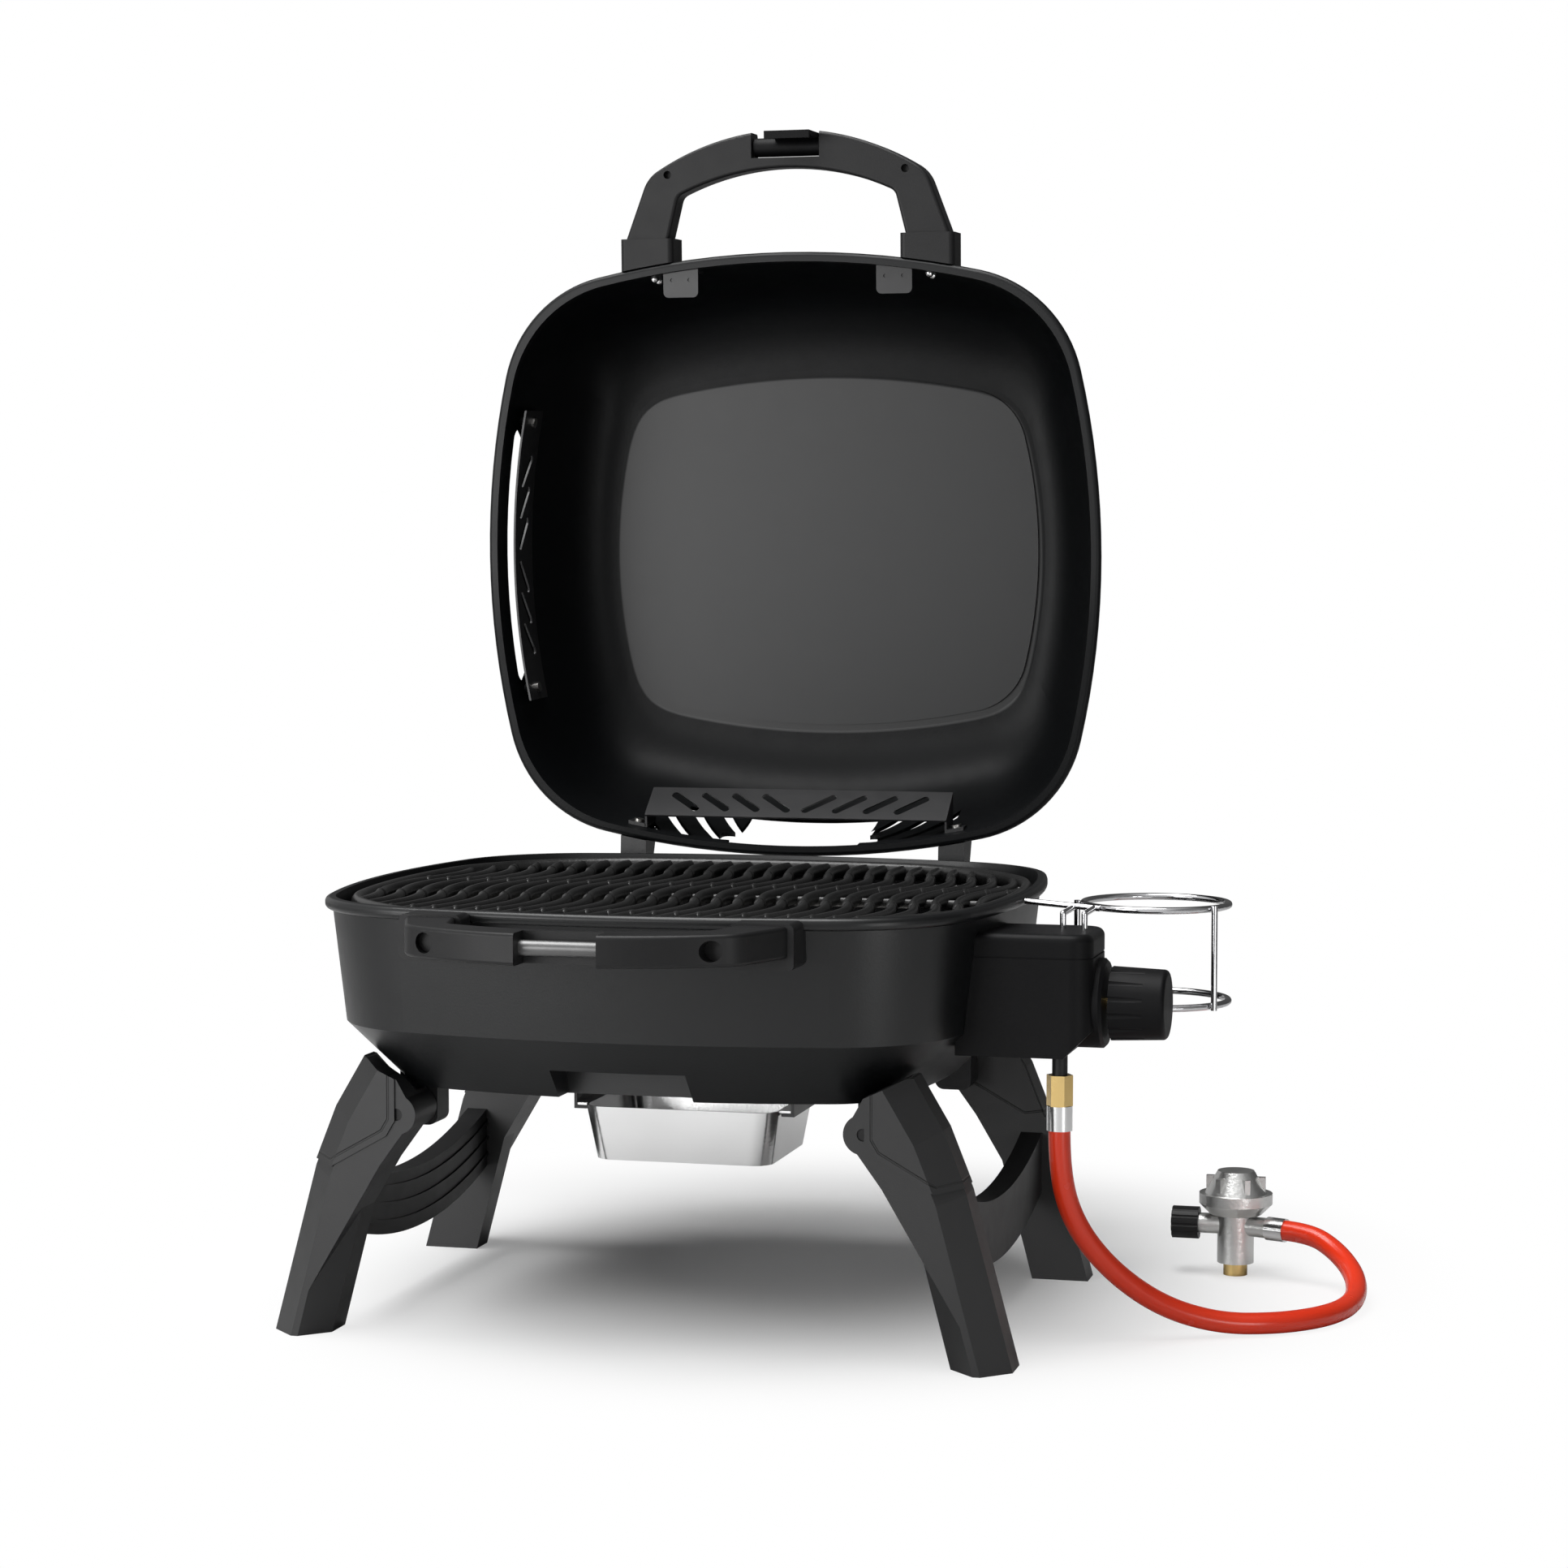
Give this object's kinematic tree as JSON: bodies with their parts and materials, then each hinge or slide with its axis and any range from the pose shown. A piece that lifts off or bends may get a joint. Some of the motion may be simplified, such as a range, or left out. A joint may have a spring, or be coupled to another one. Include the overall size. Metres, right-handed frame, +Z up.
{
  "type": "portable gas grill",
  "caption": "Portable gas grill: clam-shell lid over a firebox with a wave-bar grate, carrying loops, folding leg frames, drip tray, valve knob, wire cup ring and a hose with its regulator.",
  "frame": {"origin": "on the floor under the middle of the bounding box of the grill without its hose and regulator", "axes": "+X towards the control box and knob, +Y towards the lid hinges, +Z up"},
  "size_m": [0.6972, 0.688, 0.8271],
  "materials": {
    "black_casting": "dark satin stove enamel on cast aluminium",
    "black_sheet": "black enamel on sheet steel",
    "cast_iron": "matte black enamelled cast iron",
    "burner_steel": "stainless steel",
    "black_plastic": "fine-grained black nylon",
    "chrome": "bright plated wire",
    "bright_tray": "bright pressed aluminium",
    "brass": "turned brass",
    "black_steel": "blackened steel",
    "hose_rubber": "orange-red gas hose rubber",
    "zinc": "grey die-cast alloy"
  },
  "bodies": {
    "base": {"firebox": "black_casting", "cooking_grate": "cast_iron", "burner_tube": "burner_steel", "heat_tent": "burner_steel", "front_handle": "black_plastic", "front_handle_sockets": "black_plastic", "catch_rod": "burner_steel", "left_hinge_bracket": "burner_steel", "right_hinge_bracket": "burner_steel", "hinge_pins": "burner_steel", "control_box": "black_plastic", "knob_collar": "black_plastic", "gas_valve": "brass", "gas_inlet": "black_steel", "wire_holder": "chrome", "tray_rails": "burner_steel", "leg_lugs": "black_plastic", "leg_pins": "burner_steel", "inlet_nut": "brass", "upper_ferrule": "chrome", "gas_hose": "hose_rubber", "lower_ferrule": "chrome", "regulator_body": "zinc", "regulator_cap": "zinc", "regulator_foot": "brass"},
    "lid": {"lid": "black_casting", "rear_vent_baffle": "black_sheet", "side_vent_baffle": "black_sheet", "vent_screws": "burner_steel", "lid_clips": "black_sheet", "lid_handle": "black_plastic", "lid_handle_sockets": "black_plastic", "latch_pin": "burner_steel", "left_hinge_leaf": "burner_steel", "right_hinge_leaf": "burner_steel"},
    "latch": {"latch_hook": "black_plastic"},
    "drip_tray": {"drip_tray": "bright_tray"},
    "left_leg_frame": {"left_front_leg": "black_plastic", "left_rear_leg": "black_plastic", "left_crossbar": "black_plastic"},
    "right_leg_frame": {"right_front_leg": "black_plastic", "right_rear_leg": "black_plastic", "right_crossbar": "black_plastic"},
    "valve_plug": {"valve_rotor": "brass"},
    "knob": {"valve_stem": "brass", "control_knob": "black_plastic"},
    "handwheel": {"regulator_handwheel": "black_plastic"}
  },
  "joints": [
    {"name": "lid_hinge", "type": "hinge", "parent": "base", "child": "lid", "pos_m": [-0.05765, 0.20425, 0.276], "axis": [1, 0, 0], "range_deg": [0, 88]},
    {"name": "latch_swing", "type": "hinge", "parent": "lid", "child": "latch", "pos_m": [-0.05765, 0.21291, 0.81623], "axis": [1, 0, 0], "range_deg": [0, 7.5]},
    {"name": "drip_tray_slide", "type": "slide", "parent": "base", "child": "drip_tray", "axis": [0, -1, 0], "range_m": [0, 0.12]},
    {"name": "left_leg_fold", "type": "hinge", "parent": "base", "child": "left_leg_frame", "pos_m": [-0.21365, -0.03175, 0.15], "axis": [0, -1, 0], "range_deg": [0, 65]},
    {"name": "right_leg_fold", "type": "hinge", "parent": "base", "child": "right_leg_frame", "pos_m": [0.09835, -0.03175, 0.15], "axis": [0, 1, 0], "range_deg": [0, 65]},
    {"name": "valve_turn", "type": "hinge", "parent": "base", "child": "valve_plug", "pos_m": [0.19235, -0.10575, 0.226], "axis": [-1, 0, 0], "range_deg": [0, 210]},
    {"name": "knob_push", "type": "slide", "parent": "valve_plug", "child": "knob", "axis": [-1, 0, 0], "range_m": [0, 0.003], "stiffness_N_per_m": 1500},
    {"name": "handwheel_turn", "type": "hinge", "parent": "base", "child": "handwheel", "pos_m": [0.26332, 0.15013, 0.036], "axis": [1, 0, 0], "continuous": true}
  ]
}
